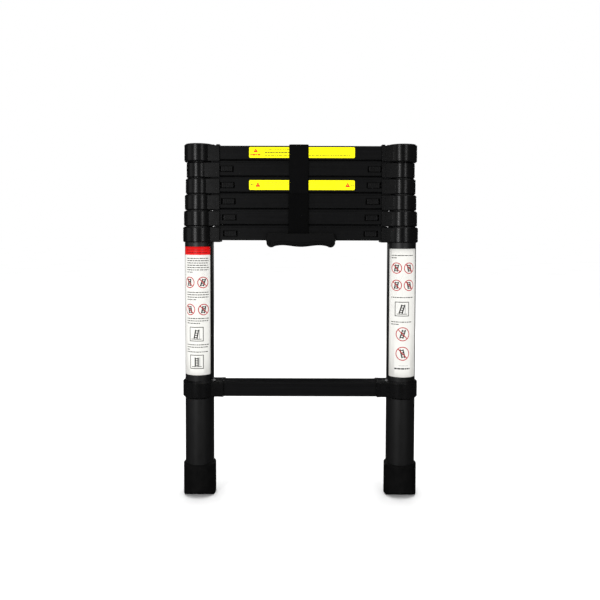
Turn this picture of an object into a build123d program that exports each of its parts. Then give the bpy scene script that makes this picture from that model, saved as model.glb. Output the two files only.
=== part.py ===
from build123d import *
import os

os.makedirs("parts", exist_ok=True)

# Telescoping ladder with seven rungs, closed. Millimetres, +Z up, the climber stands on the -Y side.
# The origin is on the floor, midway between the two stiles.
# Every paired piece is built once, on the +X side, and mirrored about the YZ plane.

# --- stile tubes, 1 is the base tube and 6 the thinnest ---
STILE_X = 193.55          # tube axis to the ladder's middle
TUBE_R = 27.4             # outside radius of the base tube
TUBE_STEP = 1.78          # each tube's radius is this much less than the one around it
TUBE_WALL = 1.3
TUBE_COUNT = 6
SLIDING_LENGTH = 400.0
BASE_TUBE_Z = 14.0

# --- rungs ---
RUNG_SPACING = 300.0      # between rungs when the ladder is open
STACK_PITCH = 30.35       # between rungs when it is closed
RUNG_DEPTH = 36.0
RUNG_HEIGHT = 29.7
RUNG_WALL = 1.8
RUNG_2_Z = 489.9          # underside of rung 2
RUNG_1_HEIGHT = 26.7
RUNG_7_HEIGHT = 26.0
TREAD_CHAMFER = 2.7
RIB_HEIGHT = 1.6          # rib along the back of a rung's tread, which closes the gap to the rung above
RIB_DEPTH = 4.0
REBATE_HEIGHT = 1.6       # step in the underside of the rung above, which the rib enters
REBATE_DEPTH = 4.8
TRAVEL = RUNG_SPACING - STACK_PITCH

# --- collars that join the rungs to the tubes ---
COLLAR_WALL = 3.5
COLLAR_HEIGHT = 29.35
COLLAR_BELOW = 3.8        # a collar starts this far below its rung
COLLAR_CHAMFER = 2.0
LIP_HEIGHT = 3.0
LIP_CLEARANCE = 0.25
ARM_END = 152.5           # where a collar's arm ends, from the ladder's middle
ARM_DEPTH = 40.0
ARM_INSET = 0.3
SKIRT_THICK = 1.6         # the arm's walls below the rung, outside the tread of the rung below
TONGUE_HEIGHT = 1.4       # on an arm's top beside the ring, nearly up to the arm above
RIM_WIDTH = 6.0
RIM_HEIGHT = 1.0
CAP_R = 27.9
CAP_TOP = 671.3
BOTTOM_COLLAR_R = 31.6
BOTTOM_COLLAR_OVER = 3.9  # above and below rung 1
BOTTOM_ARM_END = 146.0

# --- latches ---
BUTTON_OFFSET = 34.3      # button centre to the outside of the stile tube
BUTTON_LENGTH = 21.5
BUTTON_HEIGHT = 9.8
BUTTON_PROUD = 2.8
LATCH_Z = 12.8            # pin axis above the rung's underside
CARRIAGE_LENGTH = 24.0
PIN_R = 4.0
PIN_RUN = 0.05            # radial running clearance of a pin
PIN_GAP = 0.3             # pin tip to the sliding tube at rest
LOCK_TRAVEL = 1.8
RELEASE_TRAVEL = 2.0
WINDOW_INNER_GAP = 2.4    # between the finger pad and the inner end of its window, at rest
WINDOW_OUTER_GAP = 3.4
WINDOW_LIMIT = 152.1      # no window reaches under the collar's arm
WINDOW_HEIGHT = 11.4
SPRING_LENGTH = 20.0

# --- feet ---
FOOT_R = 31.0
FOOT_HEIGHT = 63.0
TOE_RISE = 12.0
SOLE_FRONT = -10.0

# --- handle and strap ---
HANDLE_X = 0.6
HANDLE_HALF = 66.5         # where it flares out under rung 2
HANDLE_TOP = 503.5
HANDLE_TOP_HALF = 62.0
LOBE_HALF = 64.4
LOBE_OFFSET = 57.4
LOBE_BOTTOM = 477.1
LOBE_TOP = 487.5
WAVE_HALF = 50.0          # half length of the wavy edge between the lobes
WAVE_END_Z = 478.9
VALLEY_OFFSET = 38.0
VALLEY_Z = 480.9
GRIP_BOTTOM = 478.0
LIP_FRONT = 26.0          # front face of the grip
LIP_BACK = 22.55          # back of the lip where the strap passes behind it
FINGER_GROOVES = (3.2, 6.8)    # heights of the grooves above the grip's lower edge
GROOVE_DEPTH = 0.8
BOSS_Z = 484.4
BOSS_R = 5.4
STRAP_THICK = 1.8
STRAP_GAP = 0.2
UPPER_STRAP_X = -3.4
UPPER_STRAP_WIDTH = 37.0
UPPER_STRAP_END = 528.0
UPPER_STRAP_BACK = 3.0    # the riveted end stops this far above the underside of rung 7
RIVET_OFFSET = 9.0        # the two rivets behind rung 7, from the middle of the strap
RIVET_Z = 652.0
RIVET_R = 2.0
LOWER_STRAP_X = -4.0
LOWER_STRAP_WIDTH = 37.6
LOWER_STRAP_Z = (504.5, 577.6)

# --- labels ---
LABEL_THICK = 0.2
RUNG_LABEL_X = 2.4
RUNG_LABEL_WIDTH = 198.5
RUNG_LABEL_Z = {5: (585.0, 603.1), 7: (645.0, 665.0)}
STILE_LABEL_HEIGHT = 242.8
LEFT_LABEL_Z = 235.1
RIGHT_LABEL_Z = 232.1
LEFT_LABEL_ANGLES = (67.0, 55.5)      # from the front of the tube, outwards and inwards
RIGHT_LABEL_ANGLES = (60.0, 62.5)

FRONT = -RUNG_DEPTH / 2


def tube_radius(number):
    return TUBE_R - TUBE_STEP * (number - 1)


def rung_z(number):
    """Underside of a rung in the closed ladder."""
    if number == 1:
        return RUNG_2_Z + RUNG_HEIGHT - RUNG_SPACING - RUNG_1_HEIGHT
    return RUNG_2_Z + STACK_PITCH * (number - 2)


def rung_height(number):
    return {1: RUNG_1_HEIGHT, 7: RUNG_7_HEIGHT}.get(number, RUNG_HEIGHT)


def collar_z(number):
    """Bottom and top of a collar's ring."""
    if number == 1:
        return (rung_z(1) - BOTTOM_COLLAR_OVER, rung_z(1) + RUNG_1_HEIGHT + BOTTOM_COLLAR_OVER)
    bottom = rung_z(number) - COLLAR_BELOW
    return (bottom, CAP_TOP if number == 7 else bottom + COLLAR_HEIGHT)


def collar_radius(number):
    if number == 1:
        return BOTTOM_COLLAR_R
    return CAP_R if number == 7 else tube_radius(number - 1) + COLLAR_WALL


def rung_end(number):
    """Half length of a rung: its ends stop just short of the collar rings."""
    return STILE_X - collar_radius(number) - 1.5


def latch_z(number):
    return rung_z(number) + LATCH_Z


def button_x(number):
    return STILE_X - tube_radius(number - 1) - BUTTON_OFFSET


def pin_tip_x(number):
    return STILE_X - tube_radius(number) - PIN_GAP


def block(x, y, z):
    """A box from three (low, high) pairs."""
    size = [pair[1] - pair[0] for pair in (x, y, z)]
    return Pos(x[0], y[0], z[0]) * Box(*size, align=(Align.MIN, Align.MIN, Align.MIN))


def rod_z(radius, low, high, x=0.0, y=0.0):
    return Pos(x, y, low) * Cylinder(radius, high - low, align=(Align.CENTER, Align.CENTER, Align.MIN))


def rod_x(radius, low, high, y, z):
    """A cylinder along X."""
    return Pos(low, y, z) * Rot(0, 90, 0) * Cylinder(
        radius, high - low, align=(Align.CENTER, Align.CENTER, Align.MIN)
    )


def rod_y(radius, low, high, x, z):
    """A cylinder along Y."""
    return Pos(x, high, z) * Rot(90, 0, 0) * Cylinder(
        radius, high - low, align=(Align.CENTER, Align.CENTER, Align.MIN)
    )


def both_sides(shape):
    return Compound([shape, mirror(shape, about=Plane.YZ)])


def save(name, shape):
    export_step(shape, f"parts/{name}.step")


# ---------------------------------------------------------------- stile tubes

def stile_tube(number):
    """One tube. A sliding tube has a lock hole for each end of its travel."""
    outer = tube_radius(number)
    top = collar_z(number + 1)[1] - LIP_HEIGHT
    bottom = BASE_TUBE_Z if number == 1 else top - SLIDING_LENGTH
    tube = rod_z(outer, bottom, top) - rod_z(outer - TUBE_WALL, bottom - 1, top + 1)
    holes = []
    if number < TUBE_COUNT:
        holes.append(latch_z(number + 1))
    if number > 1:
        holes += [latch_z(number), latch_z(number) - TRAVEL]
    for height in holes:
        tube -= rod_x(PIN_R + 0.3, -outer - 2, 0, 0, height)
    return Pos(STILE_X, 0, 0) * tube


def glide_bush(number):
    """Plastic bush in the lower end of a sliding tube, with a flange that guides it in the tube around it."""
    outer = tube_radius(number)
    end = collar_z(number + 1)[1] - LIP_HEIGHT - SLIDING_LENGTH
    bush = rod_z(outer + 0.2, end - 4.0, end) + rod_z(outer - TUBE_WALL - 0.02, end - 1, end + 12)
    bush -= rod_z(outer - TUBE_WALL - 3.0, end - 5, end + 13)
    return Pos(STILE_X, 0, 0) * bush


# ---------------------------------------------------------------------- rungs

def rung_outline(height, chamfer, inset, stepped):
    """Cross-section of a rung, shrunk by inset, as points in Y and Z. A stepped one has the rebate for a rib."""
    half = RUNG_DEPTH / 2 - inset
    low, high = inset, height - inset
    cut = chamfer - inset * 0.6
    back = 1.6 - inset * 0.6
    foot = 1.0 - inset * 0.4
    corner = [(half, low + foot), (half - foot, low)]
    if stepped:
        step = half - REBATE_DEPTH
        corner = [(half, low + REBATE_HEIGHT), (step, low + REBATE_HEIGHT), (step, low)]
    return [
        (-half + foot, low), (-half, low + foot), (-half, high - cut), (-half + cut, high),
        (half - back, high), (half, high - back), *corner,
    ]


def rung_bar(number, inset, half_length):
    """A solid bar of a rung's cross-section."""
    chamfer = 1.4 if number == 7 else TREAD_CHAMFER
    points = rung_outline(rung_height(number), chamfer, inset, number > 2)
    face = Plane.YZ * make_face(Polyline(*points, close=True))
    return Pos(0, 0, rung_z(number)) * extrude(face, half_length, both=True)


def tread_rib(number):
    """Rib along the back of the tread, between the collar arms."""
    top = rung_z(number) + rung_height(number)
    back = RUNG_DEPTH / 2 - 0.2
    depth = (back - RIB_DEPTH, back)
    height = (top - 1.8, top + RIB_HEIGHT)
    end = ARM_END - 1.0
    return block((-end, end), depth, height)


def rung(number):
    """Hollow aluminium rung with a grooved tread, and windows for the release buttons."""
    half_length = rung_end(number)
    bar = rung_bar(number, 0, half_length) - rung_bar(number, RUNG_WALL, half_length + 1)
    top = rung_z(number) + rung_height(number)
    along = (-half_length - 1, half_length + 1)
    for groove in range(-2, 3):
        y = groove * 5.0 - 1.0
        bar -= block(along, (y - 1.1, y + 1.1), (top - 0.7, top + 1))
    if 2 <= number <= 6:
        bar += tread_rib(number)
    if number != 7:
        bar -= block(along, (FRONT - 1, FRONT + 0.5), (top - 5.6, top - 4.7))
    if 2 <= number <= 6:
        inner = button_x(number) - BUTTON_LENGTH / 2 - WINDOW_INNER_GAP
        outer = min(button_x(number) + BUTTON_LENGTH / 2 + WINDOW_OUTER_GAP, WINDOW_LIMIT)
        half = WINDOW_HEIGHT / 2
        z = latch_z(number)
        window = block((inner, outer), (FRONT - 1, FRONT + RUNG_WALL + 1), (z - half, z + half))
        bar -= window
        bar -= mirror(window, about=Plane.YZ)
    if number == 2:
        for x in handle_screw_places():
            bar -= rod_z(2.1, RUNG_2_Z - 1, RUNG_2_Z + RUNG_WALL + 1, x)
    if number == 7:
        for x in rivet_places():
            bar -= rod_y(RIVET_R, RUNG_DEPTH / 2 - RUNG_WALL - 1, RUNG_DEPTH / 2 + 1, x, RIVET_Z)
    return bar


# -------------------------------------------------------------------- collars

def collar_ring(number):
    low, high = collar_z(number)
    ring = rod_z(collar_radius(number), low, high)
    size = 3.8 if number == 1 else COLLAR_CHAMFER
    return chamfer(ring.edges().filter_by(GeomType.CIRCLE), size)


def collar_arm(number):
    """The arm that reaches along the rung, with a raised rim at its end. X is counted from the tube axis."""
    low, high = collar_z(number)
    reach = STILE_X - (BOTTOM_ARM_END if number == 1 else ARM_END)
    half = ARM_DEPTH / 2
    low += ARM_INSET
    high -= ARM_INSET
    if number == 1:
        low = rung_z(1) - 0.8
        high = rung_z(1) + RUNG_1_HEIGHT + 0.8
    if number == 7:
        high = rung_z(7) + RUNG_7_HEIGHT + 0.8
    arm = block((-reach, 0), (-half, half), (low, high))
    arm = fillet(arm.edges().filter_by(Axis.X), 1.5)
    wide = half + RIM_HEIGHT
    rim = block((-reach, -reach + RIM_WIDTH), (-wide, wide), (low, high))
    arm += fillet(rim.edges().filter_by(Axis.X), 1.5)
    if number == 7:
        arm += cap_shoulder(high)
        arm += block((-reach, -reach + RIM_WIDTH), (-half + 2, half - 2), (high - 1, high + 1.8))
    if 2 <= number <= 5:
        tongue = (rung_end(number) + 0.7 - STILE_X, 1.0 - collar_radius(number))
        arm += block(tongue, (-half + 3, half - 3), (high - 1, high + TONGUE_HEIGHT))
    return arm


def cap_shoulder(low):
    """Sloping shoulder between the closed cap and its arm."""
    outer = CAP_R + 2.6
    points = [(0, low - 1), (-outer - 3, low - 1), (-outer, CAP_TOP - 1.2), (0, CAP_TOP - 1.2)]
    face = Plane.XZ * make_face(Polyline(*points, close=True))
    return extrude(face, 15.0, both=True)


def stack_room(number):
    """Room under a collar's rung for the end of the rung below. X is counted from the tube axis."""
    half = ARM_DEPTH / 2 - SKIRT_THICK
    end = rung_end(number - 1) + 0.5 - STILE_X
    top = rung_z(number) - 0.5
    return block((ARM_END - STILE_X - 1, end), (-half, half), (top - COLLAR_BELOW - 1, top))


def latch_cradle(number):
    """Insert inside the rung's end that carries the latch. X is counted from the tube axis."""
    z = rung_z(number)
    start = button_x(number) - CARRIAGE_LENGTH / 2 - SPRING_LENGTH - 3.0 - STILE_X
    half = RUNG_DEPTH / 2 - RUNG_WALL - 0.3
    return block((start, rung_end(number) - STILE_X + 1), (-half, half), (z + 3.6, z + 24.5))


def latch_pocket(number):
    """Room for the carriage, its spring and the pin. X is counted from the tube axis."""
    middle = button_x(number) - STILE_X
    z = latch_z(number)
    inner = middle - CARRIAGE_LENGTH / 2 - SPRING_LENGTH
    outer = middle + CARRIAGE_LENGTH / 2 + LOCK_TRAVEL + 0.8
    pocket = block((inner, outer), (FRONT - 1, 8.0), (z - 7.0, z + 7.0))
    return pocket + rod_x(PIN_R + PIN_RUN, outer - 1, 0, 0, z)


def collar(number):
    """Moulded collar: ring, arm and, where there is a latch, the cradle for it."""
    low, high = collar_z(number)
    body = collar_ring(number) + collar_arm(number)
    body -= Pos(-STILE_X, 0, 0) * rung_bar(number, -0.05, rung_end(number) + 0.2)
    if number > 2:
        body -= stack_room(number)
    if 2 <= number <= 6:
        body += latch_cradle(number)
        body -= latch_pocket(number)
    tube = tube_radius(max(number - 1, 1))
    if number == 1:
        body -= rod_z(tube, low - 1, high + 1)
    else:
        body -= rod_z(tube, low - 1, high - LIP_HEIGHT)
    if 2 <= number <= 6:
        body -= rod_z(tube_radius(number) + LIP_CLEARANCE, high - LIP_HEIGHT - 1, high + 1)
    return Pos(STILE_X, 0, 0) * body


# -------------------------------------------------------------------- latches

def release_button(number):
    """Finger pad and the carriage behind it, bored for the lock pin."""
    x = button_x(number)
    z = latch_z(number)
    length = BUTTON_LENGTH / 2
    tall = BUTTON_HEIGHT / 2
    pad = block((x - length, x + length), (FRONT - BUTTON_PROUD, -13.0), (z - tall, z + tall))
    pad = fillet(pad.edges().group_by(Axis.Y)[0], 0.9)
    for ridge in range(-2, 3):
        groove = x + ridge * 3.4
        pad -= block((groove - 0.5, groove + 0.5), (-22.0, FRONT - BUTTON_PROUD + 0.6), (z - 3.2, z + 3.2))
    half = CARRIAGE_LENGTH / 2
    carriage = block((x - half, x + half), (-14.0, 7.0), (z - 6.2, z + 6.2))
    return pad + carriage - rod_x(PIN_R + 0.02, x - 8, x + half + 1, 0, z)


def lock_pin(number):
    """Steel pin from the carriage, through the collar and the outer tube, up to the sliding tube."""
    tip = pin_tip_x(number)
    pin = rod_x(PIN_R, button_x(number) - 7.9, tip, 0, latch_z(number))
    return chamfer(pin.edges().filter_by(GeomType.CIRCLE).sort_by(Axis.X)[-1], 0.8)


def latch_spring(number):
    """Coil spring that pushes the carriage out towards the stile."""
    wire = 0.6
    seat = button_x(number) - CARRIAGE_LENGTH / 2 - SPRING_LENGTH
    height = SPRING_LENGTH - 2 * wire - 0.2
    coil = Helix(pitch=height / 5, height=height, radius=4.4)
    wire_face = Plane(coil @ 0, z_dir=coil % 0) * Circle(wire)
    spring = sweep(wire_face, path=coil)
    return Pos(seat + wire + 0.1, 0, latch_z(number)) * Rot(0, 90, 0) * spring


# ----------------------------------------------------------------------- feet

def foot():
    """Rubber boot with a bevelled toe and a ribbed sole."""
    boot = rod_z(FOOT_R, 0, FOOT_HEIGHT)
    rims = boot.edges().filter_by(GeomType.CIRCLE).sort_by(Axis.Z)
    boot = chamfer(rims[-1], 2.8)
    boot = fillet(boot.edges().filter_by(GeomType.CIRCLE).sort_by(Axis.Z)[0], 3.0)
    toe = [(SOLE_FRONT, -1), (SOLE_FRONT, 0), (-FOOT_R - 1, TOE_RISE), (-FOOT_R - 1, -1)]
    boot -= extrude(Plane.YZ * make_face(Polyline(*toe, close=True)), FOOT_R + 1, both=True)
    boot -= rod_z(TUBE_R, BASE_TUBE_Z, FOOT_HEIGHT + 1)
    for rib in range(4):
        y = 1.5 + rib * 7.0
        boot -= block((-FOOT_R - 1, FOOT_R + 1), (y - 1.0, y + 1.0), (-1, 1.5))
    return Pos(STILE_X, 0, 0) * boot


# ----------------------------------------------------------- handle and strap

def handle_screw_places():
    return (HANDLE_X - 44.0, HANDLE_X + 44.0)


def on_handle(offset, z):
    return (HANDLE_X + offset, z)


def finger_wave(rise):
    """The wavy lower edge between the lobes, raised by rise."""
    half = [(-WAVE_HALF, WAVE_END_Z), (-VALLEY_OFFSET, VALLEY_Z), (0, GRIP_BOTTOM)]
    points = half + [(-offset, z) for offset, z in reversed(half[:-1])]
    return Spline(*[on_handle(offset, z + rise) for offset, z in points])


def grip_wall(front, back):
    """One wall of the handle, with a wavy lower edge for the fingers, between two Y planes."""
    at = on_handle
    left_lobe = ThreePointArc(
        at(-LOBE_HALF, LOBE_TOP), at(-LOBE_OFFSET, LOBE_BOTTOM), at(-WAVE_HALF, WAVE_END_Z)
    )
    right_lobe = ThreePointArc(
        at(WAVE_HALF, WAVE_END_Z), at(LOBE_OFFSET, LOBE_BOTTOM), at(LOBE_HALF, LOBE_TOP)
    )
    shoulder = [
        (LOBE_HALF, LOBE_TOP), (HANDLE_HALF, LOBE_TOP + 3.5), (HANDLE_HALF - 1.0, LOBE_TOP + 6.0),
        (HANDLE_TOP_HALF + 1.4, HANDLE_TOP - 2.0), (HANDLE_TOP_HALF, HANDLE_TOP),
    ]
    around = shoulder + [(-offset, z) for offset, z in reversed(shoulder)]
    upper_edge = Polyline(*[at(offset, z) for offset, z in around])
    outline = make_face([left_lobe, finger_wave(0), right_lobe, upper_edge])
    wall = extrude(Plane.XZ * outline, back - front)
    return Pos(0, back, 0) * wall


def finger_groove(rise):
    """A shallow groove along the front wall, rise above its lower edge."""
    low = finger_wave(rise)
    high = finger_wave(rise + 1.1)
    band = make_face([low, Line(low @ 1, high @ 1), high, Line(high @ 0, low @ 0)])
    return Pos(0, -LIP_FRONT + GROOVE_DEPTH, 0) * extrude(Plane.XZ * band, GROOVE_DEPTH + 1)


def boss_cut(x):
    """The ring groove round a boss on the front wall, and the blind hole in its middle."""
    def disc(radius, depth):
        return Pos(x, -LIP_FRONT + depth, BOSS_Z) * Rot(90, 0, 0) * Cylinder(
            radius, depth + 1, align=(Align.CENTER, Align.CENTER, Align.MIN)
        )

    return disc(BOSS_R, GROOVE_DEPTH) - disc(BOSS_R - 1.0, GROOVE_DEPTH) + disc(2.0, 2.5)


def carry_handle():
    """Channel-shaped grip under rung 2: two wavy walls joined by a floor below the rung."""
    half = RUNG_DEPTH / 2 + 0.05
    front_wall = grip_wall(-LIP_FRONT, -half)
    front_wall = chamfer(front_wall.faces().sort_by(Axis.Y)[0].edges(), 1.6)
    back_wall = grip_wall(half, half + 6.0)
    back_wall = chamfer(back_wall.faces().sort_by(Axis.Y)[-1].edges(), 1.6)
    floor = block(
        (HANDLE_X - 60.0, HANDLE_X + 60.0), (-half - 1, half + 1), (RUNG_2_Z - 3.4, RUNG_2_Z - 0.05)
    )
    grip = front_wall + back_wall + floor
    for x in handle_screw_places():
        grip -= rod_z(2.1, RUNG_2_Z - 5, RUNG_2_Z + 1, x)
    for rise in FINGER_GROOVES:
        grip -= finger_groove(rise)
    for offset in (-LOBE_OFFSET, LOBE_OFFSET):
        grip -= boss_cut(HANDLE_X + offset)
    edge = LOWER_STRAP_WIDTH / 2 + 0.8
    across = (LOWER_STRAP_X - edge, LOWER_STRAP_X + edge)
    grip -= block(across, (-LIP_BACK, -half + 1), (HANDLE_TOP - 9.0, HANDLE_TOP + 1))
    roll = (LIP_FRONT - LIP_BACK) / 2
    grip -= block(across, (-LIP_FRONT - 1, -LIP_BACK), (HANDLE_TOP - roll, HANDLE_TOP + 1))
    return grip + rod_x(roll, *across, -LIP_FRONT + roll, HANDLE_TOP - roll)


def handle_screw(x):
    top = RUNG_2_Z - 3.5
    screw = rod_z(4.0, top - 2.4, top, x) + rod_z(2.0, top - 1, RUNG_2_Z + 8.0, x)
    return screw - block((x - 3.0, x + 3.0), (-0.5, 0.5), (top - 3, top - 1.6))


def rivet_places():
    return (UPPER_STRAP_X - RIVET_OFFSET, UPPER_STRAP_X + RIVET_OFFSET)


def strap_rivet(x):
    """Blind rivet that holds the strap's end to the back of rung 7."""
    seat = RUNG_DEPTH / 2 + 2 * STRAP_GAP + STRAP_THICK
    head = rod_y(4.2, seat + 0.02, seat + 1.4, x, RIVET_Z)
    head = fillet(head.edges().filter_by(GeomType.CIRCLE).sort_by(Axis.Y)[-1], 0.9)
    return head + rod_y(RIVET_R - 0.05, RUNG_DEPTH / 2 - RUNG_WALL - 2, seat + 1, x, RIVET_Z)


def upper_strap():
    """Webbing riveted behind the top rung and led over it, with a tail in front of the rungs below."""
    inner = RUNG_DEPTH / 2 + 2 * STRAP_GAP
    outer = inner + STRAP_THICK
    low = rung_z(7) - 0.4
    high = rung_z(7) + RUNG_7_HEIGHT + 0.9
    loop = Pos(0, (low + high) / 2) * (
        RectangleRounded(2 * outer, high - low + 2 * STRAP_THICK, 2.4)
        - RectangleRounded(2 * inner, high - low, 0.8)
    )
    tail_top = (low + high) / 2
    tail = Pos(-(inner + outer) / 2, (UPPER_STRAP_END + tail_top) / 2) * Rectangle(
        STRAP_THICK, tail_top - UPPER_STRAP_END
    )
    opening = Pos((outer + 1 - inner) / 2, low) * Rectangle(outer + 1 + inner, 2 * UPPER_STRAP_BACK)
    profile = Plane.YZ * (loop - opening + tail)
    strap = Pos(UPPER_STRAP_X, 0, 0) * extrude(profile, UPPER_STRAP_WIDTH / 2, both=True)
    for x in rivet_places():
        strap -= rod_y(RIVET_R, inner - 1, outer + 1, x, RIVET_Z)
    return strap


def lower_strap():
    """Flap of webbing that stands up from the handle and closes over the upper strap's tail."""
    back = -RUNG_DEPTH / 2 - 3 * STRAP_GAP - STRAP_THICK
    half = LOWER_STRAP_WIDTH / 2
    flap = block(
        (LOWER_STRAP_X - half, LOWER_STRAP_X + half), (back - STRAP_THICK, back), LOWER_STRAP_Z
    )
    return fillet(flap.edges().filter_by(Axis.Y).group_by(Axis.Z)[-1], 2.0)


# --------------------------------------------------------------------- labels

def rung_label(number):
    low, high = RUNG_LABEL_Z[number]
    sheet = Plane.XZ * (Pos(RUNG_LABEL_X, (low + high) / 2) * RectangleRounded(
        RUNG_LABEL_WIDTH, high - low, 2.5
    ))
    return Pos(0, FRONT, 0) * extrude(sheet, LABEL_THICK)


def stile_label(x, low, outer_angle, inner_angle):
    """Sheet round the front of a base tube. Angles in degrees are from the front, each towards its side."""
    inward = -1 if x > 0 else 1
    start, end = sorted((-inward * outer_angle, inward * inner_angle))
    high = low + STILE_LABEL_HEIGHT
    loose = (Align.NONE, Align.NONE, Align.NONE)
    wrap = end - start
    ring = Rot(0, 0, start - 90) * (
        Cylinder(TUBE_R + LABEL_THICK + 0.02, high - low, arc_size=wrap, align=loose)
        - Cylinder(TUBE_R + 0.02, high - low, arc_size=wrap, align=loose)
    )
    return Pos(x, 0, low) * ring


# ---------------------------------------------------------------------- write

for k in range(1, TUBE_COUNT + 1):
    save(f"stile_tubes_{k}", both_sides(stile_tube(k)))
for k in range(2, TUBE_COUNT + 1):
    save(f"glide_bushes_{k}", both_sides(glide_bush(k)))
for n in range(1, 8):
    save(f"rung_{n}", rung(n))
    save(f"collars_{n}", both_sides(collar(n)))
for n in range(2, 7):
    button = release_button(n)
    pin = lock_pin(n)
    save(f"release_button_{n}_right", button)
    save(f"release_button_{n}_left", mirror(button, about=Plane.YZ))
    save(f"lock_pin_{n}_right", pin)
    save(f"lock_pin_{n}_left", mirror(pin, about=Plane.YZ))
    save(f"latch_springs_{n}", both_sides(latch_spring(n)))
save("feet", both_sides(foot()))
save("carry_handle", carry_handle())
save("handle_screws", Compound([handle_screw(x) for x in handle_screw_places()]))
save("strap_upper", upper_strap())
save("strap_rivets", Compound([strap_rivet(x) for x in rivet_places()]))
save("strap_lower", lower_strap())
for n in RUNG_LABEL_Z:
    save(f"rung_label_{n}", rung_label(n))
save("stile_label_left", stile_label(-STILE_X, LEFT_LABEL_Z, *LEFT_LABEL_ANGLES))
save("stile_label_right", stile_label(STILE_X, RIGHT_LABEL_Z, *RIGHT_LABEL_ANGLES))
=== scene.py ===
"""Looks of the closed telescoping ladder: camera, studio, materials, labels, latch springs and strap."""
import math
import random

import bmesh
import bpy
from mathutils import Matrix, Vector, geometry, noise


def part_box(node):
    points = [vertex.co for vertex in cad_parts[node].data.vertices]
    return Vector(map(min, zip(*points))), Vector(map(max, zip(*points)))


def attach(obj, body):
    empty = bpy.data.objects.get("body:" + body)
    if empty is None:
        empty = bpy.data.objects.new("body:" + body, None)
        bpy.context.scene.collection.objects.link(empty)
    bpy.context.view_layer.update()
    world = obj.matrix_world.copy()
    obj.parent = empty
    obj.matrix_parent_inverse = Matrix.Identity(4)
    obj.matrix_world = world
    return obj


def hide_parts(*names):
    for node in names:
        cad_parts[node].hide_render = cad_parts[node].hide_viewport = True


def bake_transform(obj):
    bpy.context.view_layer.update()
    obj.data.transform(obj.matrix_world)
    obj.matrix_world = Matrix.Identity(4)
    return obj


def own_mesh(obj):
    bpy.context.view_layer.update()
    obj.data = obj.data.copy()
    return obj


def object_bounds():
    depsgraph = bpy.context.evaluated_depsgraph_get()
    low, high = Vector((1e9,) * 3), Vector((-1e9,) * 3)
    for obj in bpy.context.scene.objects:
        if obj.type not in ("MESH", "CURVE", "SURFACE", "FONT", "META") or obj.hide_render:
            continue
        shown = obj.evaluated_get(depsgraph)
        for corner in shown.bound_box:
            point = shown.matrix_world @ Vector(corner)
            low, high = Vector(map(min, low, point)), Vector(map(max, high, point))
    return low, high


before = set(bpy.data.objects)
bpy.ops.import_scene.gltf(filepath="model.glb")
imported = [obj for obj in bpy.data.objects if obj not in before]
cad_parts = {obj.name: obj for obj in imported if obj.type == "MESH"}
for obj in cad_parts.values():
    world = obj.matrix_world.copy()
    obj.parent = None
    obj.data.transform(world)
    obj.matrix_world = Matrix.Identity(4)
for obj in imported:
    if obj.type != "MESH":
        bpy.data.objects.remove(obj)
cad_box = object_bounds()
MM = 0.001

# ------------------------------------------------------------------ camera

CAMERA_PLACE = (-0.00103, -1.194, 0.518)
CAMERA_PITCH = 2.15         # degrees down
CAMERA_ROLL = -0.16         # degrees
CAMERA_LENS = 37.41         # on a sensor 36 mm wide
CAMERA_SHIFT = -0.085


def make_camera():
    data = bpy.data.cameras.new("camera")
    data.sensor_width = 36.0
    data.lens = CAMERA_LENS
    data.shift_y = CAMERA_SHIFT
    camera = bpy.data.objects.new("camera", data)
    camera.location = CAMERA_PLACE
    camera.rotation_mode = "XYZ"
    camera.rotation_euler = (math.radians(90 - CAMERA_PITCH), math.radians(CAMERA_ROLL), 0)
    bpy.context.scene.collection.objects.link(camera)
    bpy.context.scene.camera = camera


# ------------------------------------------------------------------ studio

DIFFUSE_SKY = 1.06          # an even white surround lights the floor and the matt part of every surface
GLOSSY_SKY = 0.03           # and black cloth round the set keeps it out of the reflections
FLOOR_HALF = 20.0           # metres, so that its edge lies near the horizon
FLOOR_DROP = 0.2 * MM       # below the feet, so that the two faces don't coincide


def softbox(name, place, aim, size, power):
    """A rectangular area light at place, turned towards aim."""
    data = bpy.data.lights.new(name, "AREA")
    data.shape = "RECTANGLE"
    data.size, data.size_y = size
    data.energy = power
    light = bpy.data.objects.new(name, data)
    light.location = place
    light.rotation_mode = "QUATERNION"
    light.rotation_quaternion = (Vector(aim) - Vector(place)).to_track_quat("-Z", "Y")
    light.visible_camera = False
    bpy.context.scene.collection.objects.link(light)


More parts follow.
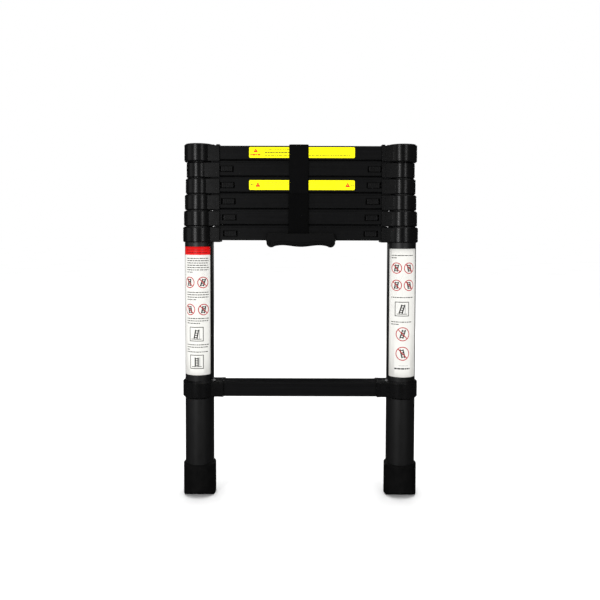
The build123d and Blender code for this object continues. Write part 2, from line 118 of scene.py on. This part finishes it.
def make_studio():
    middle = (cad_box[0] + cad_box[1]) / 2
    aim = (0, 0, middle.z)
    softbox("overhead", (0, 0.2, 2.4), (0, 0.2, 0), (2.4, 1.6), 10)
    softbox("key_left", (-0.88, -1.75, 0.60), aim, (0.24, 0.9), 11.0)
    softbox("side_left", (-1.75, -0.60, 0.45), aim, (1.0, 1.3), 3.0)
    softbox("key_right", (0.88, -1.75, 0.60), aim, (0.22, 0.9), 5.0)
    for side in (-1, 1):
        softbox(f"back_{side}", (side * 0.8, 1.7, 0.85), aim, (0.4, 0.9), 4.0)
    world = bpy.data.worlds.new("studio")
    world.use_nodes = True
    nodes, links = world.node_tree.nodes, world.node_tree.links
    nodes.clear()
    path = nodes.new("ShaderNodeLightPath")
    out = nodes.new("ShaderNodeOutputWorld")
    last = None
    skies = (("Is Glossy Ray", GLOSSY_SKY), ("Is Diffuse Ray", DIFFUSE_SKY), ("Is Camera Ray", 1.0))
    for ray, strength in skies:
        sky = nodes.new("ShaderNodeBackground")
        sky.inputs["Color"].default_value = (1, 1, 1, 1)
        sky.inputs["Strength"].default_value = strength
        if last is None:
            last = sky.outputs["Background"]
            continue
        mix = nodes.new("ShaderNodeMixShader")
        links.new(path.outputs[ray], mix.inputs["Fac"])
        links.new(last, mix.inputs[1])
        links.new(sky.outputs["Background"], mix.inputs[2])
        last = mix.outputs["Shader"]
    links.new(last, out.inputs["Surface"])
    bpy.context.scene.world = world
    bpy.context.scene.view_settings.view_transform = "Standard"


def make_floor(material):
    mesh = bpy.data.meshes.new("floor")
    corners = [(x * FLOOR_HALF, y * FLOOR_HALF, 0) for x, y in ((-1, -1), (1, -1), (1, 1), (-1, 1))]
    mesh.from_pydata(corners, [], [(0, 1, 2, 3)])
    floor = bpy.data.objects.new("floor", mesh)
    floor.location.z = -FLOOR_DROP
    bpy.context.scene.collection.objects.link(floor)
    mesh.materials.append(material)


# --------------------------------------------------------------- materials

class Surface:
    """A Principled material with short calls for the nodes that pattern it."""

    def __init__(self, name, **sockets):
        self.material = bpy.data.materials.new(name)
        self.material.use_nodes = True
        self.nodes = self.material.node_tree.nodes
        self.links = self.material.node_tree.links
        self.shader = self.nodes["Principled BSDF"]
        for socket, value in sockets.items():
            self.shader.inputs[socket.replace("_", " ")].default_value = value
        self.place = self.nodes.new("ShaderNodeTexCoord").outputs["Object"]

    def stretched(self, x, y, z):
        """Object coordinates multiplied along each axis."""
        mapping = self.nodes.new("ShaderNodeMapping")
        mapping.inputs["Scale"].default_value = (x, y, z)
        self.links.new(self.place, mapping.inputs["Vector"])
        return mapping.outputs["Vector"]

    def noise(self, scale, detail=3.0, rough=0.5, vector=None):
        node = self.nodes.new("ShaderNodeTexNoise")
        node.inputs["Scale"].default_value = scale
        node.inputs["Detail"].default_value = detail
        node.inputs["Roughness"].default_value = rough
        self.links.new(vector or self.place, node.inputs["Vector"])
        return node.outputs["Fac"]

    def cells(self, scale):
        node = self.nodes.new("ShaderNodeTexVoronoi")
        node.inputs["Scale"].default_value = scale
        self.links.new(self.place, node.inputs["Vector"])
        return node.outputs["Distance"]

    def bands(self, direction, scale):
        node = self.nodes.new("ShaderNodeTexWave")
        node.bands_direction = direction
        node.inputs["Scale"].default_value = scale
        self.links.new(self.place, node.inputs["Vector"])
        return node.outputs["Fac"]

    def span(self, value, low, high, start=0.3, end=0.7):
        """Maps a pattern's start to end onto low to high."""
        node = self.nodes.new("ShaderNodeMapRange")
        for socket, number in (("From Min", start), ("From Max", end), ("To Min", low), ("To Max", high)):
            node.inputs[socket].default_value = number
        self.links.new(value, node.inputs["Value"])
        return node.outputs["Result"]

    def product(self, a, b):
        node = self.nodes.new("ShaderNodeMath")
        node.operation = "MULTIPLY"
        self.links.new(a, node.inputs[0])
        self.links.new(b, node.inputs[1])
        return node.outputs["Value"]

    def mix(self, factor, a, b):
        """Colour a to colour b by factor. Each colour is three numbers or an output."""
        node = self.nodes.new("ShaderNodeMix")
        node.data_type = "RGBA"
        self.links.new(factor, node.inputs[0])
        for socket, value in ((node.inputs[6], a), (node.inputs[7], b)):
            if isinstance(value, tuple):
                socket.default_value = (*value, 1)
            else:
                self.links.new(value, socket)
        return node.outputs[2]

    def bump(self, height, strength, distance):
        """Adds a bump over the ones before it."""
        node = self.nodes.new("ShaderNodeBump")
        node.inputs["Strength"].default_value = strength
        node.inputs["Distance"].default_value = distance
        self.links.new(height, node.inputs["Height"])
        last = self.shader.inputs["Normal"].links
        if last:
            self.links.new(last[0].from_socket, node.inputs["Normal"])
        self.links.new(node.outputs["Normal"], self.shader.inputs["Normal"])

    def soft_edges(self, radius):
        """Rounds the sharp edges in the shading."""
        node = self.nodes.new("ShaderNodeBevel")
        node.samples = 4
        node.inputs["Radius"].default_value = radius
        self.links.new(node.outputs["Normal"], self.shader.inputs["Normal"])

    def drive(self, **sockets):
        """Links an output to each named socket of the shader."""
        for socket, output in sockets.items():
            self.links.new(output, self.shader.inputs[socket.replace("_", " ")])


def moulded_plastic(name, dark, light, rough, gloss=0.2):
    """Glass-filled nylon with a spark-eroded grain, faint flow marks and rubbed patches."""
    s = Surface(name, Specular_IOR_Level=gloss)
    s.soft_edges(0.5 * MM)
    flow = s.noise(28.0, 4.0, 0.6)
    rub = s.noise(140.0, 6.0, 0.7)
    tone = s.mix(s.span(flow, 0.0, 1.0), dark, light)
    s.drive(Base_Color=tone, Roughness=s.span(rub, rough - 0.02, rough + 0.05))
    s.bump(s.cells(1400.0), 0.10, 0.03 * MM)
    return s.material


def coated_aluminium(name, dark, light, rough, draw, gloss):
    """Black coating on extruded aluminium: fine orange peel, draw lines along one axis and light scuffs."""
    s = Surface(name, Specular_IOR_Level=gloss)
    s.soft_edges(0.35 * MM)
    lines = s.noise(420.0, 4.0, 0.6, s.stretched(*draw))
    scuff = s.noise(90.0, 8.0, 0.75)
    tone = s.mix(s.span(lines, 0.0, 1.0), dark, light)
    worn = s.mix(s.span(scuff, 0.0, 0.35, 0.62, 0.78), tone, tuple(2.2 * c for c in light))
    s.drive(Base_Color=worn, Roughness=s.span(scuff, rough - 0.04, rough + 0.12))
    s.bump(lines, 0.12, 0.03 * MM)
    s.bump(s.noise(1900.0, 2.0), 0.15, 0.03 * MM)
    return s.material


def moulded_rubber(name):
    s = Surface(name, Specular_IOR_Level=0.10)
    s.soft_edges(0.6 * MM)
    dust = s.noise(60.0, 7.0, 0.7)
    tone = s.mix(s.span(dust, 0.0, 1.0, 0.4, 0.75), (0.0018, 0.0018, 0.0019), (0.0040, 0.0038, 0.0036))
    s.drive(Base_Color=tone, Roughness=s.span(dust, 0.55, 0.75))
    s.bump(s.cells(900.0), 0.4, 0.08 * MM)
    return s.material


def plated_steel(name):
    s = Surface(name, Metallic=1.0)
    lines = s.noise(500.0, 5.0, 0.6, s.stretched(0.1, 1, 1))
    tone = s.mix(s.span(lines, 0.0, 1.0), (0.50, 0.50, 0.49), (0.68, 0.68, 0.66))
    s.drive(Base_Color=tone, Roughness=s.span(lines, 0.22, 0.38))
    s.bump(lines, 0.1, 0.02 * MM)
    return s.material


def printed_vinyl(name, colour, shade):
    """One ink, or the bare sheet, of a printed vinyl label."""
    s = Surface(name, Specular_IOR_Level=0.15)
    blotch = s.noise(45.0, 5.0, 0.6)
    tone = s.mix(s.span(blotch, 0.0, 1.0), colour, shade)
    s.drive(Base_Color=tone, Roughness=s.span(blotch, 0.30, 0.40))
    s.bump(s.noise(600.0, 2.0), 0.06, 0.03 * MM)
    return s.material


def webbing(name, dark, light, rib, pile):
    """Woven tape: ribs across, warp threads along, and a pile of loops where it grips."""
    s = Surface(name, Specular_IOR_Level=0.05, Sheen_Weight=0.02, Sheen_Roughness=0.5)
    s.shader.inputs["Sheen Tint"].default_value = (0.25, 0.25, 0.27, 1)
    fuzz = s.noise(1500.0, 5.0, 0.7)
    patch = s.noise(55.0, 4.0, 0.6)
    tone = s.mix(s.span(fuzz, 0.0, 1.0), dark, light)
    faded = s.mix(s.span(patch, 0.0, 0.5), tone, light)
    s.drive(Base_Color=faded, Roughness=s.span(fuzz, 0.75, 0.95))
    s.bump(s.product(s.bands("Z", rib), s.bands("X", rib * 0.8)), 0.5, 0.12 * MM)
    s.bump(fuzz, pile, 0.15 * MM)
    return s.material


def pale_floor(name):
    s = Surface(name, Specular_IOR_Level=0.0)
    cloud = s.noise(3.0, 4.0, 0.5)
    tone = s.mix(s.span(cloud, 0.0, 1.0), (0.93, 0.93, 0.93), (0.96, 0.96, 0.96))
    # Painted dark reflection: in reflections the floor is painted near black (0.03) instead of its pale
    # colour, so the black parts mirror darkness.
    painted_reflection_mask = s.nodes.new("ShaderNodeLightPath").outputs["Is Glossy Ray"]
    s.drive(Base_Color=s.mix(painted_reflection_mask, tone, (0.03, 0.03, 0.03)), Roughness=s.span(cloud, 0.7, 0.8))
    return s.material


# ------------------------------------------------------------------ labels

TEXT_PITCH = 4.55           # sizes of the prints, in millimetres
TEXT_THICK = 1.5
WORD_GAP = 0.9
RING_STROKE = 1.6
FRAME_STROKE = 1.3
RAIL_OFFSET = 2.8           # of the ladder glyph's two rails, either side of its middle
FILM = 0.16                 # thickness of the label sheets
GLUE = 0.22                 # a sheet's front stands this far out from the tube
SHEET_STEP = 1.4            # at most, between the lines along which a sheet bends


def rectangle(u, v, width, height):
    """Corners of a rectangle from its left, its top (v runs down), its width and its height."""
    return [(u, v), (u + width, v), (u + width, v + height), (u, v + height)]


def rounded(u, v, width, height, radius):
    steps = 5
    corners = ((u + width - radius, v + radius, -90), (u + width - radius, v + height - radius, 0),
               (u + radius, v + height - radius, 90), (u + radius, v + radius, 180))
    points = []
    for cu, cv, start in corners:
        for step in range(steps + 1):
            angle = math.radians(start + 90 * step / steps)
            points.append((cu + radius * math.cos(angle), cv + radius * math.sin(angle)))
    return points


def disc(u, v, radius):
    sides = 36
    turn = 2 * math.pi / sides
    return [(u + radius * math.cos(i * turn), v + radius * math.sin(i * turn)) for i in range(sides)]


def bar(u1, v1, u2, v2, width):
    """A straight stroke of that width between two points."""
    along = Vector((u2 - u1, v2 - v1)).normalized() * width / 2
    du, dv = -along.y, along.x
    return [(u1 - du, v1 - dv), (u2 - du, v2 - dv), (u2 + du, v2 + dv), (u1 + du, v1 + dv)]


def triangle(u, v, width, height):
    return [(u, v + height), (u + width / 2, v), (u + width, v + height)]


class Print:
    """Shapes on a label in millimetres, v running down, each with an ink. Later shapes cover earlier ones."""

    def __init__(self, seed):
        self.shapes = []
        self.random = random.Random(seed)

    def add(self, points, ink):
        self.shapes.append((points, ink))

    def words(self, u, v, length, ink, thick=TEXT_THICK):
        """A line of blank bars, as long as words, in place of text."""
        end = u + length
        while u < end - 1.0:
            width = min(self.random.uniform(1.6, 6.5), end - u)
            self.add(rectangle(u, v - thick / 2, width, thick), ink)
            u += width + WORD_GAP

    def block(self, u, v, length, lines, last, pitch=TEXT_PITCH):
        """Lines of bars under each other. The last one is that share of the length."""
        for line in range(lines):
            share = last if line == lines - 1 else self.random.uniform(0.93, 1.0)
            self.words(u, v + pitch * line, length * share, "black")

    def ladder(self, u, v, height, lean):
        """A small plain ladder glyph round its centre. Its top leans to the right by lean."""
        half = height / 2
        for side in (-RAIL_OFFSET, RAIL_OFFSET):
            self.add(bar(u + side - lean, v + half, u + side + lean, v - half, 2.2), "black")
        for step in range(4):
            t = (step + 0.5) / 4 * 2 - 1
            left, right = u - RAIL_OFFSET + lean * t, u + RAIL_OFFSET + lean * t
            self.add(bar(left, v - half * t, right, v - half * t, 1.6), "black")

    def ring(self, u, v, radius, lean):
        """A red ring with a slash over a ladder glyph."""
        self.add(disc(u, v, radius), "red")
        self.add(disc(u, v, radius - RING_STROKE), "paper")
        self.ladder(u, v, radius * 1.25, lean)
        reach = (radius - 0.5) * 0.7071
        self.add(bar(u - reach, v - reach, u + reach, v + reach, RING_STROKE), "red")

    def framed(self, u, v, size, lean):
        """A square frame round a ladder glyph that stands on a line, with a post beside it."""
        inside = size - 2 * FRAME_STROKE
        self.add(rectangle(u, v, size, size), "black")
        self.add(rectangle(u + FRAME_STROKE, v + FRAME_STROKE, inside, inside), "paper")
        self.ladder(u + size / 2, v + size / 2, size * 0.62, lean)
        self.add(bar(u + 4, v + size - 4.2, u + size - 4, v + size - 4.2, 1.2), "black")
        self.add(bar(u + size * 0.72, v + 5, u + size * 0.72, v + size - 4.2, 1.1), "grey")

    def alert(self, u, v, width, height):
        """A red triangle with a plain mark."""
        self.add(triangle(u, v, width, height), "red")
        self.add(rectangle(u + width / 2 - 0.35, v + height * 0.42, 0.7, height * 0.26), "yellow")


def label_sheet(node, body, outline, art, inks, point, lines=()):
    """A thin sheet whose front is cut into paper and inks, in place of the node.

    The first ink is the paper's. point(u, v) gives the place in the row frame of a point of the print, and
    lines are extra cuts, along which a sheet bends.
    """
    name = node + "_print"
    coords, loops = [], []
    for outside in (outline, *(points for points, _ in art.shapes)):
        loops.append(list(range(len(coords), len(coords) + len(outside))))
        coords += [Vector(p) for p in outside]
    edges = []
    for a, b in lines:
        edges.append((len(coords), len(coords) + 1))
        coords += [Vector(a), Vector(b)]
    verts, _, tris, _, _, origins = geometry.delaunay_2d_cdt(coords, edges, loops, 1, 1e-4)
    mesh = bpy.data.meshes.new(name)
    bm = bmesh.new()
    made = [bm.verts.new(point(p.x, p.y)) for p in verts]
    names = list(inks)
    for tri, source in zip(tris, origins):
        if 0 not in source:
            continue
        face = bm.faces.new([made[i] for i in reversed(tri)])
        top = max(source)
        face.material_index = names.index(art.shapes[top - 1][1]) if top else 0
    loose = [v for v in bm.verts if not v.link_faces]
    bmesh.ops.delete(bm, geom=loose, context="VERTS")
    bm.to_mesh(mesh)
    bm.free()
    for ink in names:
        mesh.materials.append(inks[ink])
    sheet = bpy.data.objects.new(name, mesh)
    bpy.context.scene.collection.objects.link(sheet)
    solid = sheet.modifiers.new("thickness", "SOLIDIFY")
    solid.thickness = FILM * MM
    solid.offset = -1
    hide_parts(node)
    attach(sheet, body)
    return sheet


def rung_label(node, body, art, inks):
    low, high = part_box(node)
    width, height = (high.x - low.x) / MM, (high.z - low.z) / MM

    def point(u, v):
        return Vector((low.x + u * MM, low.y, high.z - v * MM))

    label_sheet(node, body, rounded(0, 0, width, height, 2.4), art, inks, point)


def stile_label(node, axis_x, art, inks):
    """A label round the front of a base tube. u is the way round from the front, positive towards +X."""
    low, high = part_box(node)
    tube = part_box("stile_tubes_1")
    radius = (tube[1].y - tube[0].y) / 2 + GLUE * MM
    height = (high.z - low.z) / MM
    arc = radius / MM

    def point(u, v):
        angle = u / arc
        return Vector((axis_x + radius * math.sin(angle), -radius * math.cos(angle), high.z - v * MM))

    start, end = (math.asin((x - axis_x) / radius) * arc for x in (low.x, high.x))
    lines = []
    count = math.ceil((end - start) / SHEET_STEP)
    for i in range(1, count):
        u = start + (end - start) * i / count
        lines.append(((u, 0.0), (u, height)))
    outline = rounded(start, 0, end - start, height, 2.0)
    sheet = label_sheet(node, "base", outline, art, inks, point, lines)
    for face in sheet.data.polygons:
        face.use_smooth = True


def left_stile_print():
    art = Print(3)
    u, length = -22.0, 45.3
    art.add(rectangle(-60, 0, 100, 15.4), "header")
    art.words(u, 6.2, length, "dark_red", 1.3)
    art.words(u, 10.8, length * 0.95, "dark_red", 1.3)
    art.block(u, 22.0, length, 7, 0.29, 4.31)
    art.ring(-16.0, 67.3, 10.8, 0.0)
    art.ring(11.0, 67.3, 10.8, 2.2)
    art.block(u, 85.9, length, 4, 0.47)
    art.ring(-14.8, 118.4, 10.8, -1.0)
    art.ring(12.1, 118.4, 10.8, 1.4)
    art.block(u, 135.2, length, 3, 0.63)
    art.framed(-15.6, 151.1, 27.3, 1.6)
    art.block(u, 185.0, length, 3, 0.13)
    art.words(u, 198.6, length * 0.95, "black")
    art.framed(-14.8, 204.0, 26.6, 0.0)
    return art


def right_stile_print():
    art = Print(5)
    u, length = -24.2, 44.6
    art.block(u, 12.4, length, 2, 0.25)
    for v in (36.2, 68.7):
        art.ring(-13.6, v, 10.6, 1.2)
        art.ring(11.0, v, 10.6, -1.2)
    art.words(u, 91.5, length, "black")
    art.framed(-16.2, 99.6, 27.4, 2.6)
    art.block(u, 137.9, length, 2, 0.35)
    art.ring(-0.8, 160.8, 13.2, 2.6)
    art.ring(-0.8, 197.7, 13.2, -2.0)
    art.words(-8.0, 220.7, 18.0, "grey", 0.8)
    art.words(-16.4, 226.4, 30.2, "black", 2.6)
    return art


def top_rung_print():
    art = Print(8)
    art.alert(8.2, 2.4, 8.4, 7.2)
    art.words(2.3, 14.4, 20.5, "red", 2.6)
    art.words(29.5, 5.0, 92.0, "black", 1.2)
    art.words(29.5, 10.2, 74.0, "black", 1.9)
    art.words(29.5, 15.4, 160.0, "black", 1.3)
    return art


def middle_rung_print():
    art = Print(9)
    art.words(2.6, 8.5, 6.0, "black", 1.7)
    art.alert(11.8, 3.7, 9.4, 8.6)
    for v, length in ((4.5, 95.0), (8.5, 101.0), (12.7, 127.0)):
        art.words(29.2, v, length, "grey", 1.0)
    art.alert(180.5, 4.1, 9.4, 8.6)
    art.words(191.5, 8.9, 5.4, "black", 1.7)
    return art


# ------------------------------------------------------------------ strap

STRIPS = 26                 # facets across the tape
FACE_STEP = 1.5             # between rings of the tape on a flat run, in millimetres
FINE_STEP = 0.6             # and where it bends
SIDE_ROOM = 0.4             # how much narrower the tape is than the CAD strap
UNEVEN = 0.08               # height of the tape's slow waves
CAD_HALF = 0.9              # half the thickness of the CAD strap
UPPER_TAPE = 1.7            # thickness of each half here
LOWER_TAPE = 1.6
END_GAP = 0.2               # a cut end stops this far short of the CAD strap's
FOLD_RADIUS = 1.9           # of the upper half over the edges of rung 7
RUNG_7_EDGE = 2.8           # the riveted end stops this far above the underside of rung 7
POCKET_DEPTH = 8.0          # the lower half starts this far below the top of the handle's lip
FINE_TOP = 12.0             # and has fine rings up to this far above it, where the real strap bends over the lip


def tape(node, path, thick, material):
    """A flat tape with rounded edges, nearly as wide as the node's box, along a path of (y, z) points."""
    low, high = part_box(node)
    middle = (low.x + high.x) / 2 / MM
    width = (high.x - low.x) / MM - SIDE_ROOM
    name = node + "_webbing"
    mesh = bpy.data.meshes.new(name)
    bm = bmesh.new()
    rings = []
    for i, (y, z) in enumerate(path):
        before, after = path[max(i - 1, 0)], path[min(i + 1, len(path) - 1)]
        along = Vector((0, after[0] - before[0], after[1] - before[1])).normalized()
        normal = Vector((0, along.z, -along.y))
        ring = []
        for side, order in ((1, range(STRIPS + 1)), (-1, range(STRIPS, -1, -1))):
            for j in order:
                t = 2 * j / STRIPS - 1
                edge = (1 - abs(t) ** 14) ** 0.5 * 0.82 + 0.18
                x = middle + t * width / 2
                lift = noise.noise(Vector((x * 0.09, z * 0.035, y * 0.05 + side))) * UNEVEN
                place = Vector((x, y, z)) + normal * (side * thick / 2 * edge + lift)
                ring.append(bm.verts.new(place * MM))
        rings.append(ring)
    count = len(rings[0])
    for a, b in zip(rings, rings[1:]):
        for k in range(count):
            bm.faces.new((a[k], a[(k + 1) % count], b[(k + 1) % count], b[k]))
    bm.faces.new(rings[0])
    bm.faces.new(rings[-1])
    bmesh.ops.recalc_face_normals(bm, faces=bm.faces)
    bm.to_mesh(mesh)
    bm.free()
    for face in mesh.polygons:
        face.use_smooth = len(face.vertices) == 4
    mesh.materials.append(material)
    piece = bpy.data.objects.new(name, mesh)
    bpy.context.scene.collection.objects.link(piece)
    return piece


def line(start, end, step=FACE_STEP):
    """Points from start towards end, not including end."""
    count = max(1, round(math.dist(start, end) / step))
    return [tuple(a + (b - a) * i / count for a, b in zip(start, end)) for i in range(count)]


def corner(centre, radius, start, end):
    """Points of an arc in (y, z), by angle in degrees from +Y towards +Z."""
    steps = 6
    points = []
    for i in range(steps + 1):
        angle = math.radians(start + (end - start) * i / steps)
        points.append((centre[0] + radius * math.cos(angle), centre[1] + radius * math.sin(angle)))
    return points


def make_upper_strap(material):
    """Up the front of the stack, over rung 7 and a little way down behind it."""
    low, high = (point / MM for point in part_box("strap_upper"))
    r = FOLD_RADIUS
    front, back, top = low.y + CAD_HALF, high.y - CAD_HALF, high.z - CAD_HALF
    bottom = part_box("rung_7")[0].z / MM + RUNG_7_EDGE
    path = line((front, low.z + END_GAP), (front, top - r))
    path += corner((front + r, top - r), r, 180, 90)
    path += line((front + r, top), (back - r, top), 2.0)[1:]
    path += corner((back - r, top - r), r, 90, 0)
    path += line((back, top - r), (back, bottom))[1:]
    path += [(back, bottom)]
    strap = tape("strap_upper", path, UPPER_TAPE, material)
    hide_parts("strap_upper")
    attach(strap, "section_6")


def make_lower_strap(material):
    """From the pocket behind the handle's lip straight up the stack, with fine rings just above the lip,
    where the real strap bends over it when the ladder is opened.
    """
    low, high = (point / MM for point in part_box("strap_lower"))
    middle = (low + high) / 2
    lip_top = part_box("carry_handle")[1].z / MM
    fine_top = lip_top + FINE_TOP
    top = high.z - END_GAP
    path = line((middle.y, lip_top - POCKET_DEPTH), (middle.y, fine_top), FINE_STEP)
    path += line((middle.y, fine_top), (middle.y, top))
    path += [(middle.y, top)]
    strap = tape("strap_lower", path, LOWER_TAPE, material)
    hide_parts("strap_lower")
    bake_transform(strap)


# -------------------------------------------------------------------- main


def paint_nodes():
    """Gives each CAD node that is shown the material of its kind."""
    kinds = {
        "collars": moulded_plastic("collar_plastic", (0.0022, 0.0022, 0.0023), (0.0031, 0.0031, 0.0033),
                                   0.26, 0.22),
        "carry_handle": moulded_plastic("handle_plastic", (0.0024, 0.0024, 0.0025), (0.0034, 0.0034, 0.0036),
                                        0.34, 0.12),
        "glide_bushes": moulded_plastic("bush_plastic", (0.010, 0.010, 0.010), (0.016, 0.016, 0.016), 0.40),
        "release_button": moulded_plastic("button_plastic", (0.0034, 0.0034, 0.0036),
                                          (0.0050, 0.0050, 0.0052), 0.32, 0.12),
        "stile_tubes": coated_aluminium("tube_coating", (0.0016, 0.0016, 0.0018), (0.0028, 0.0029, 0.0032),
                                        0.42, (1, 1, 0.02), 0.6),
        "rung_": coated_aluminium("rung_coating", (0.0030, 0.0030, 0.0032), (0.0045, 0.0046, 0.0049),
                                  0.34, (0.02, 1, 1), 0.08),
        "feet": moulded_rubber("foot_rubber"),
        "lock_pin": plated_steel("pin_steel"),
        "handle_screws": plated_steel("screw_steel"),
        "strap_rivets": plated_steel("rivet_steel"),
    }
    for name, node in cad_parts.items():
        for kind, material in kinds.items():
            if name.startswith(kind):
                node.data.materials.clear()
                node.data.materials.append(material)


def make_springs(material):
    """A spring per latch in place of the pair in the node, each attached to the body of its latch."""
    for number in range(2, 7):
        node = f"latch_springs_{number}"
        body = "base" if number == 2 else f"section_{number - 1}"
        for side, sign in (("left", -1), ("right", 1)):
            bm = bmesh.new()
            bm.from_mesh(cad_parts[node].data)
            bmesh.ops.delete(bm, geom=[vert for vert in bm.verts if vert.co.x * sign < 0], context="VERTS")
            mesh = bpy.data.meshes.new(f"latch_spring_{number}_{side}")
            bm.to_mesh(mesh)
            bm.free()
            mesh.materials.clear()
            mesh.materials.append(material)
            spring = bpy.data.objects.new(mesh.name, mesh)
            bpy.context.scene.collection.objects.link(spring)
            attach(spring, body)
            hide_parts(node)
            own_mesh(spring)


def make_labels():
    yellow = {
        "yellow": printed_vinyl("yellow_vinyl", (1.0, 0.93, 0.001), (0.97, 0.88, 0.002)),
        "red": printed_vinyl("yellow_label_red", (0.75, 0.012, 0.010), (0.68, 0.012, 0.010)),
        "black": printed_vinyl("yellow_label_black", (0.10, 0.09, 0.01), (0.07, 0.065, 0.01)),
        "grey": printed_vinyl("yellow_label_grey", (0.30, 0.27, 0.01), (0.26, 0.23, 0.01)),
    }
    white = {
        "paper": printed_vinyl("white_vinyl", (0.67, 0.665, 0.635), (0.63, 0.625, 0.595)),
        "red": printed_vinyl("white_label_red", (0.42, 0.004, 0.008), (0.36, 0.004, 0.008)),
        "header": printed_vinyl("white_label_header", (0.62, 0.003, 0.003), (0.56, 0.003, 0.003)),
        "dark_red": printed_vinyl("white_label_dark_red", (0.16, 0.002, 0.002), (0.13, 0.002, 0.002)),
        "black": printed_vinyl("white_label_black", (0.012, 0.012, 0.012), (0.008, 0.008, 0.008)),
        "grey": printed_vinyl("white_label_grey", (0.25, 0.25, 0.25), (0.20, 0.20, 0.20)),
    }
    rung_label("rung_label_7", "section_6", top_rung_print(), yellow)
    rung_label("rung_label_5", "section_4", middle_rung_print(), yellow)
    low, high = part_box("stile_tubes_1")
    axis = (high.x - low.x) / 2 - (high.y - low.y) / 2
    stile_label("stile_label_left", -axis, left_stile_print(), white)
    stile_label("stile_label_right", axis, right_stile_print(), white)


make_camera()
make_studio()
make_floor(pale_floor("pale_floor"))
paint_nodes()
make_springs(plated_steel("spring_steel"))
make_labels()
make_upper_strap(webbing("upper_webbing", (0.0014, 0.0014, 0.0015), (0.0026, 0.0026, 0.0028), 160.0, 0.3))
make_lower_strap(webbing("lower_webbing", (0.0009, 0.0009, 0.0010), (0.0018, 0.0018, 0.0019), 110.0, 0.7))
